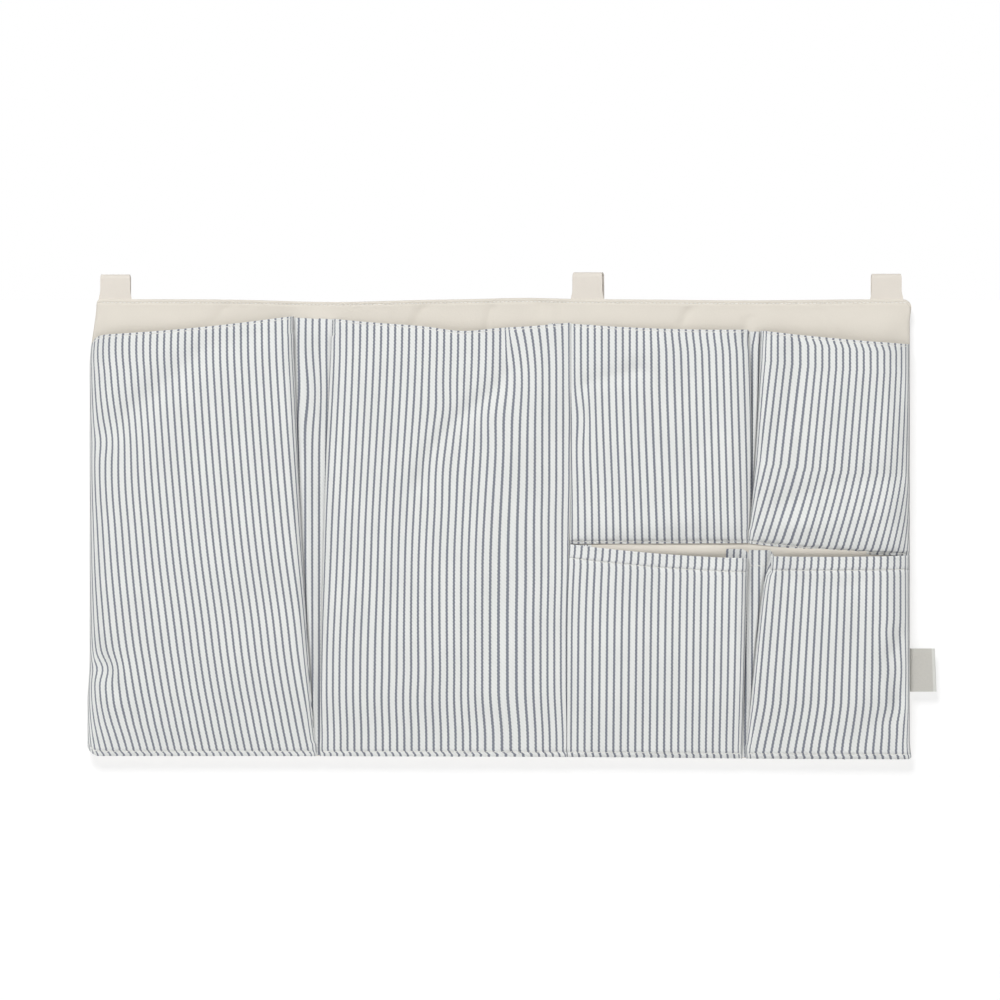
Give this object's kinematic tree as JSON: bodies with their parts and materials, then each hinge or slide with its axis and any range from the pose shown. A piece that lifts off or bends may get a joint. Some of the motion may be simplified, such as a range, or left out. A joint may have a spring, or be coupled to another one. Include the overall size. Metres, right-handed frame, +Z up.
{
  "type": "crib organizer",
  "caption": "Padded cloth hanging organizer for the side of a cot, with pleated striped pockets and strap loops that fasten over the rail.",
  "frame": {"origin": "middle of the free space inside the strap loops, where the cot's rail goes, halfway along the panel", "axes": "+X along the panel to the right as seen from the front, +Y from the pockets to the back, +Z up as it hangs"},
  "size_m": [0.6175, 0.023, 0.354],
  "materials": {
    "natural_cloth": "plain woven cotton, matt, unbleached",
    "striped_cloth": "cotton twill, white with narrow blue-grey stripes 5 mm apart",
    "wadding": "bonded fibre wadding",
    "touch_fastener": "hook and loop tape",
    "woven_label": "woven ribbon, bare"
  },
  "bodies": {
    "panel": {"front_cover": "natural_cloth", "wadding": "wadding", "back_cover": "natural_cloth", "side_label": "woven_label", "strap_left": "natural_cloth", "loop_patch_left": "touch_fastener", "strap_middle": "natural_cloth", "loop_patch_middle": "touch_fastener", "strap_right": "natural_cloth", "loop_patch_right": "touch_fastener", "large_left_pocket_pleat_left": "striped_cloth", "large_left_pocket_pleat_right": "striped_cloth", "large_middle_pocket_pleat_left": "striped_cloth", "large_middle_pocket_pleat_right": "striped_cloth", "upper_inner_pocket_pleat_left": "striped_cloth", "upper_inner_pocket_pleat_right": "striped_cloth", "upper_outer_pocket_pleat_left": "striped_cloth", "upper_outer_pocket_pleat_right": "striped_cloth", "lower_inner_pocket_pleat_left": "striped_cloth", "lower_inner_pocket_pleat_right": "striped_cloth", "lower_outer_pocket_pleat_left": "striped_cloth", "lower_outer_pocket_pleat_right": "striped_cloth"},
    "strap_left_tail": {"strap_left_tail": "natural_cloth", "hook_patch_left": "touch_fastener"},
    "strap_middle_tail": {"strap_middle_tail": "natural_cloth", "hook_patch_middle": "touch_fastener"},
    "strap_right_tail": {"strap_right_tail": "natural_cloth", "hook_patch_right": "touch_fastener"},
    "large_left_pocket": {"large_left_pocket_front": "striped_cloth", "large_left_pocket_lining": "natural_cloth"},
    "large_middle_pocket": {"large_middle_pocket_front": "striped_cloth", "large_middle_pocket_lining": "natural_cloth"},
    "upper_inner_pocket": {"upper_inner_pocket_front": "striped_cloth", "upper_inner_pocket_lining": "natural_cloth"},
    "upper_outer_pocket": {"upper_outer_pocket_front": "striped_cloth", "upper_outer_pocket_lining": "natural_cloth"},
    "lower_inner_pocket": {"lower_inner_pocket_front": "striped_cloth", "lower_inner_pocket_turned_hem": "striped_cloth"},
    "lower_outer_pocket": {"lower_outer_pocket_front": "striped_cloth", "lower_outer_pocket_turned_hem": "striped_cloth"}
  },
  "joints": [
    {"name": "strap_left_opens", "type": "hinge", "parent": "panel", "child": "strap_left_tail", "pos_m": [-0.2815, 0, 0.0105], "axis": [1, 0, 0], "range_deg": [0, 150]},
    {"name": "strap_middle_opens", "type": "hinge", "parent": "panel", "child": "strap_middle_tail", "pos_m": [0.063, 0, 0.0105], "axis": [1, 0, 0], "range_deg": [0, 150]},
    {"name": "strap_right_opens", "type": "hinge", "parent": "panel", "child": "strap_right_tail", "pos_m": [0.2815, 0, 0.0105], "axis": [1, 0, 0], "range_deg": [0, 150]},
    {"name": "large_left_pocket_opens", "type": "hinge", "parent": "panel", "child": "large_left_pocket", "pos_m": [-0.217, -0.0047, -0.343], "axis": [1, 0, 0], "range_deg": [0, 6], "stiffness_Nm_per_rad": 0.02, "springref_deg": -17.19, "deforming": ["large_left_pocket_pleat_left", "large_left_pocket_pleat_right"]},
    {"name": "large_middle_pocket_opens", "type": "hinge", "parent": "panel", "child": "large_middle_pocket", "pos_m": [-0.041, -0.0047, -0.343], "axis": [1, 0, 0], "range_deg": [0, 6], "stiffness_Nm_per_rad": 0.02, "springref_deg": -17.19, "deforming": ["large_middle_pocket_pleat_left", "large_middle_pocket_pleat_right"]},
    {"name": "upper_inner_pocket_opens", "type": "hinge", "parent": "panel", "child": "upper_inner_pocket", "pos_m": [0.116, -0.008, -0.1874], "axis": [1, 0, 0], "range_deg": [0, 10], "stiffness_Nm_per_rad": 0.006, "springref_deg": -17.19, "deforming": ["upper_inner_pocket_pleat_left", "upper_inner_pocket_pleat_right"]},
    {"name": "upper_outer_pocket_opens", "type": "hinge", "parent": "panel", "child": "upper_outer_pocket", "pos_m": [0.24, -0.008, -0.1962], "axis": [1, 0, 0], "range_deg": [0, 10], "stiffness_Nm_per_rad": 0.006, "springref_deg": -17.19, "deforming": ["upper_outer_pocket_pleat_left", "upper_outer_pocket_pleat_right"]},
    {"name": "lower_inner_pocket_opens", "type": "hinge", "parent": "panel", "child": "lower_inner_pocket", "pos_m": [0.116, -0.0047, -0.343], "axis": [1, 0, 0], "range_deg": [0, 10], "stiffness_Nm_per_rad": 0.006, "springref_deg": -17.19, "deforming": ["lower_inner_pocket_pleat_left", "lower_inner_pocket_pleat_right"]},
    {"name": "lower_outer_pocket_opens", "type": "hinge", "parent": "panel", "child": "lower_outer_pocket", "pos_m": [0.24, -0.0047, -0.343], "axis": [1, 0, 0], "range_deg": [0, 10], "stiffness_Nm_per_rad": 0.006, "springref_deg": -17.19, "deforming": ["lower_outer_pocket_pleat_left", "lower_outer_pocket_pleat_right"]}
  ]
}
